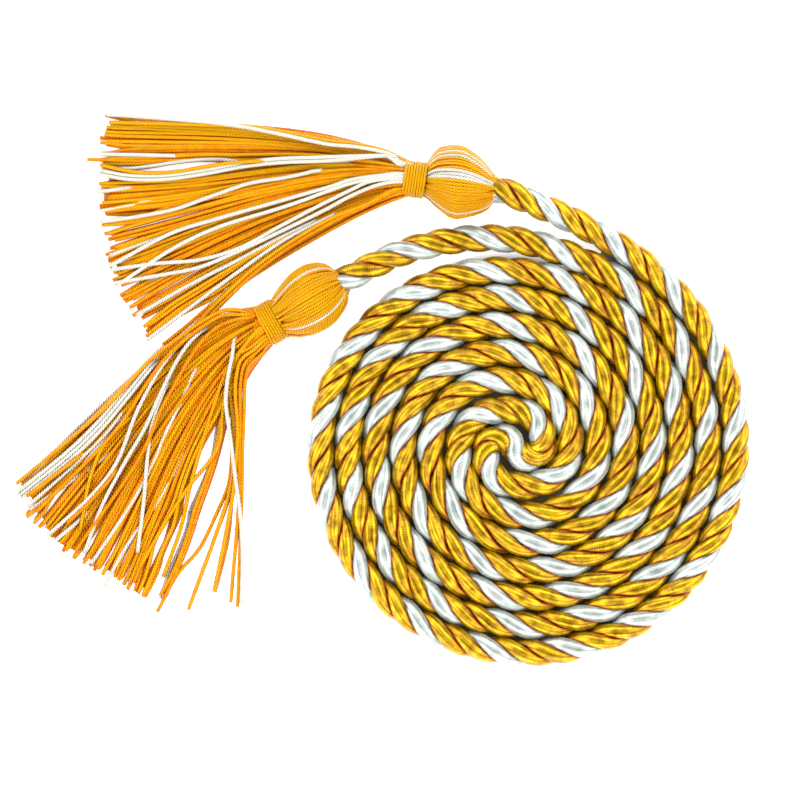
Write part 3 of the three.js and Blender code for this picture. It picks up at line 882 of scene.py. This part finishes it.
def drawn_thread(tassel, row, number):
    """One of the threads that show by themselves, beside the others of its row. One with a distance
    to emerge at lies under the rest until then."""
    origin = skirt_start(tassel)
    beside = (number - (row["count"] - 1) / 2) * drawn_spacing
    points = [
        (origin - binding_hold, row["root"] + 0.4 * beside),
        (origin + binding_hold, row["root"] + 0.6 * beside),
    ]
    points += [skirt_place(tassel, distance, degrees) for distance, degrees in row["route"]]
    line = evenly(through(points), thread_stations)
    share = np.linspace(0.0, 1.0, thread_stations)
    line = line + left_of(line) * (beside * smoothstep(share, 0.05, 0.3))[:, None]
    neck_wide, neck_high = neck_half_size(tassel)
    distance = np.linalg.norm(line - [origin, 0], axis=1)
    emerge = row.get("emerge", -2 * emerge_reach)
    risen = smoothstep(distance, emerge - emerge_reach, emerge + emerge_reach)
    crown = (neck_high - 0.15) * math.sqrt(max(0.0, 1 - (row["root"] / (neck_wide + 0.6)) ** 2))
    in_neck = axis_height(tassel, 0.0) + crown * risen
    lying = thread_radius + row["level"] * risen * (bundle_height(tassel, share) - thread_radius)
    height = lerp(in_neck, lying, smoothstep(share, 0, lock_settle_share))
    return np.column_stack([line, height])


def make_skirt(tassel):
    lines = []
    kinds = []
    shades = []
    for number, lock in enumerate(tassel["locks"]):
        for thread in range(lock["threads"]):
            lines.append(lock_thread(tassel, number, thread))
            below = thread % 2 == 0
            kinds.append(1 if below and shuffle.random() < lock_white_share else 0)
            # Threads of the lower layer take the deep, red-orange end of the tones: painted shade under
            # the top layer, reddened as by light bouncing between threads. The top layer's tones differ
            # at random.
            shades.append(shuffle.uniform(0.0, 0.45) if below else shuffle.uniform(0.3, 1.0))
    for row in tassel["drawn"]:
        for number in range(row["count"]):
            lines.append(drawn_thread(tassel, row, number))
            kinds.append(1 if row["white"] else 0)
            shades.append(shuffle.uniform(0.35, 1.0))
    lines = np.array(lines)
    outs = np.broadcast_to([0.0, 0.0, 1.0], lines.shape)
    radii = np.full((*lines.shape[:2], 2), thread_radius)
    rings = placed(tassel, sweep(lines, outs, radii, thread_sides))
    return mesh_of(tassel["name"] + "_skirt", rings, [gold_thread, white_thread], kinds, shades)


def head_surface(tassel, share, angle):
    """Points on the head: share runs from the binding at 0 to the mouth at 1, angle goes round."""
    rows = tassel["head"]
    along = [row["along"] for row in rows]
    right = np.interp(share, along, [row["right"] for row in rows])
    left = np.interp(share, along, [row["left"] for row in rows])
    even = (right + left) / 2
    fullness = even / max((row["right"] + row["left"]) / 2 for row in rows)
    half_high = fullness * tassel["head_height"] / 2
    half_wide = np.where(np.cos(angle) < 0, right, left)
    height = np.maximum(axis_height(tassel, share) + half_high * np.sin(angle), thread_radius)
    return np.column_stack([tassel["head_length"] * (1 - share), half_wide * np.cos(angle), height])


def make_head(tassel):
    share = np.linspace(-0.04, 1.02, head_stations)
    smooth_share = np.clip(share, 0, 1)
    lines = []
    kinds = []
    outs = []
    count = tassel["head_threads"]
    white_numbers = {round(math.acos(mark) / (2 * math.pi) * count) for mark in tassel["white_lines"]}
    for number in range(count // 2 + 2, count - 1):
        if shuffle.random() < head_white_share:
            white_numbers.add(number)
    for number in range(count):
        angle = 2 * math.pi * (number + shuffle.uniform(-0.08, 0.08)) / count
        tuck = shuffle.choice(head_tucks)
        line = head_surface(tassel, smooth_share, np.full(len(share), angle))
        middle = np.column_stack([line[:, 0], np.zeros(len(share)), axis_height(tassel, smooth_share)])
        out = unit(line - middle)
        crowding = 1 - np.sin(np.pi * np.clip(share, 0.02, 0.98)) ** 0.5
        line = line - out * (thread_radius + tuck * crowding)[:, None]
        line[:, 0] = tassel["head_length"] * (1 - share)
        line[:, 2] = np.maximum(line[:, 2], thread_radius)
        lines.append(line)
        outs.append(out)
        kinds.append(1 if number in white_numbers else 0)
    lines = np.array(lines)
    radii = np.full((*lines.shape[:2], 2), head_thread_radius)
    rings = placed(tassel, sweep(lines, np.array(outs), radii, thread_sides))
    shades = [shuffle.uniform(0.8, 1.15) for _ in lines]
    return mesh_of(tassel["name"] + "_head", rings, [gold_thread, white_thread], kinds, shades)


def make_core(tassel):
    """The threads inside the head and the neck, as one body that closes every gap between them."""
    neck_wide, neck_high = neck_half_size(tassel)
    origin = skirt_start(tassel)
    share = np.linspace(0.0, 0.97, core_stations)
    rows = tassel["head"]
    along = [row["along"] for row in rows]
    narrower = [min(row["right"], row["left"]) for row in rows]
    wide = np.interp(share, along, narrower) - core_depth
    fullness = wide / max(wide)
    full_high = fullness * (tassel["head_height"] / 2 - core_depth)
    high = np.minimum(full_high, axis_height(tassel, share) - 0.4)
    neck_x = np.array([origin + 4, origin + 1, origin - 1, tassel["head_length"] + 0.5])
    x = np.concatenate([neck_x, tassel["head_length"] * (1 - share)])
    height = axis_height(tassel, np.concatenate([np.zeros(len(neck_x)), share]))
    line = np.column_stack([x, np.zeros(len(x)), height])
    radii = np.empty((1, len(x), 2))
    radii[0, :, 0] = np.concatenate([core_neck_taper * neck_high, high])
    radii[0, :, 1] = np.concatenate([core_neck_taper * neck_wide, wide])
    outs = np.broadcast_to([0.0, 0.0, 1.0], (1, len(x), 3))
    rings = placed(tassel, sweep(line[None], outs, radii, core_sides))
    # The core's low tone, deeper and redder than the head's threads, is painted shade where it shows
    # between them.
    return mesh_of(tassel["name"] + "_core", rings, [gold_thread], [0], [0.35])


def make_binding(tassel):
    windings = tassel["windings"]
    pitch = tassel["binding_length"] / windings
    thick = pitch * winding_fill
    stations = winding_stations * windings
    turned = np.linspace(0.0, 2 * np.pi * windings, stations)
    round_share = turned / (2 * np.pi)
    marks = range(windings + 2)
    leans = [shuffle.uniform(-winding_lean, winding_lean) for _ in marks]
    slip = np.interp(round_share, marks, leans)
    first = skirt_start(tassel) + winding_spread - thick
    x = first - (round_share / windings) * (tassel["binding_length"] + 2 * (winding_spread - thick))
    start_tuck = winding_tuck * (1 - smoothstep(round_share, 0, 0.3))
    end_tuck = winding_tuck * smoothstep(round_share, windings - 0.3, windings)
    tuck = start_tuck + end_tuck
    rises = [shuffle.uniform(-winding_rise, winding_rise) for _ in marks]
    proud = np.interp(round_share, marks, rises)
    half_wide = tassel["binding_width"] / 2 - thick - tuck + proud
    half_high = tassel["binding_height"] / 2 - thick - tuck + proud
    line = np.column_stack([
        x + slip * np.cos(turned),
        half_wide * np.cos(turned),
        axis_height(tassel, 0.0) + half_high * np.sin(turned),
    ])
    out = np.column_stack([np.zeros(stations), np.cos(turned) / half_wide, np.sin(turned) / half_high])
    radii = np.full((1, stations, 2), thick)
    rings = placed(tassel, sweep(line[None], unit(out)[None], radii, winding_sides))
    return mesh_of(tassel["name"] + "_winding", rings, [winding_thread], [0], [0.55])


for tassel in tassels:
    for piece in (make_skirt(tassel), make_head(tassel), make_core(tassel)):
        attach(piece, "root")
        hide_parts(tassel["name"] + "_threads")
    winding = make_binding(tassel)
    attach(winding, "root")
    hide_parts(tassel["name"] + "_binding")


# The studio
def make_floor():
    """A pale table, painted dark inside the coil as painted shade in the gaps between the turns, and
    glowing a little outside it as painted light.
    """
    material, tree, shader = new_material("table")
    place = add_node(tree, "ShaderNodeTexCoord").outputs["Object"]
    cloud = noise_of(tree, place, 12.0, 2.0)
    pale = ramp_of(tree, cloud, [(0.3, (0.93, 0.93, 0.93)), (0.7, (0.95, 0.95, 0.95))])
    from_fold = add_node(
        tree, "ShaderNodeVectorMath", {0: place, 1: tuple(fold_middle * MM)}, operation="SUBTRACT"
    ).outputs["Vector"]
    length = add_node(tree, "ShaderNodeVectorMath", {0: from_fold}, operation="LENGTH")
    facing = add_node(
        tree, "ShaderNodeVectorRotate", {"Vector": from_fold, "Angle": math.pi - coil_edge_bearing},
        rotation_type="Z_AXIS",
    ).outputs["Vector"]
    parts = add_node(tree, "ShaderNodeSeparateXYZ", {"Vector": facing}).outputs
    edge_radius = add_node(tree, "ShaderNodeMapRange", {
        "Value": math_of(tree, "ARCTAN2", parts["Y"], parts["X"]),
        "From Min": -math.pi, "From Max": math.pi,
        "To Min": coil_edge_radius * MM, "To Max": (coil_edge_radius + 2 * turn_spacing) * MM,
    }).outputs["Result"]
    outside = add_node(tree, "ShaderNodeMapRange", {
        "Value": math_of(tree, "SUBTRACT", length.outputs["Value"], edge_radius),
        "From Min": -1.5 * MM, "From Max": 0.5 * MM, "To Min": 0.0, "To Max": 1.0,
    }).outputs["Result"]
    # Painted shade: inside the coil's edge the table's colour is dark.
    tree.links.new(mixed(tree, "MIX", outside, (0.3, 0.27, 0.24), pale), shader.inputs["Base Color"])
    # Painted light: outside the coil's edge the table glows, though it is no lamp, washing out the
    # shadows near the cord.
    tree.links.new(math_of(tree, "MULTIPLY", outside, 0.6), shader.inputs["Emission Strength"])
    shader.inputs["Emission Color"].default_value = (1.0, 1.0, 1.0, 1.0)
    shader.inputs["Roughness"].default_value = 0.9
    shader.inputs["Specular IOR Level"].default_value = 0.1
    half = table_half_width * MM
    corners = [(-half, -half, 0), (half, -half, 0), (half, half, 0), (-half, half, 0)]
    mesh = bpy.data.meshes.new("floor")
    mesh.from_pydata(corners, [], [(0, 1, 2, 3)])
    mesh.materials.append(material)
    floor = bpy.data.objects.new("floor", mesh)
    bpy.context.collection.objects.link(floor)


def make_light():
    """A light tent that is bright in a ring about the camera and dark straight above."""
    world = bpy.data.worlds.new("light_tent")
    bpy.context.scene.world = world
    world.use_nodes = True
    tree = world.node_tree
    ray = add_node(tree, "ShaderNodeTexCoord").outputs["Generated"]
    level = add_node(tree, "ShaderNodeSeparateXYZ", {"Vector": ray}).outputs["Z"]
    tent = ramp_of(tree, level, [
        (0.0, (0.3, 0.3, 0.3)),
        (0.4, (0.34, 0.34, 0.34)),
        (0.5, (1.0, 1.0, 1.0)),
        (0.7, (1.0, 1.0, 1.0)),
        (0.78, (0.12, 0.12, 0.12)),
        (1.0, (0.08, 0.08, 0.08)),
    ])
    tree.links.new(tent, tree.nodes["Background"].inputs["Color"])
    tree.nodes["Background"].inputs["Strength"].default_value = 7.0


make_floor()
make_light()
bpy.context.scene.view_settings.view_transform = "Standard"
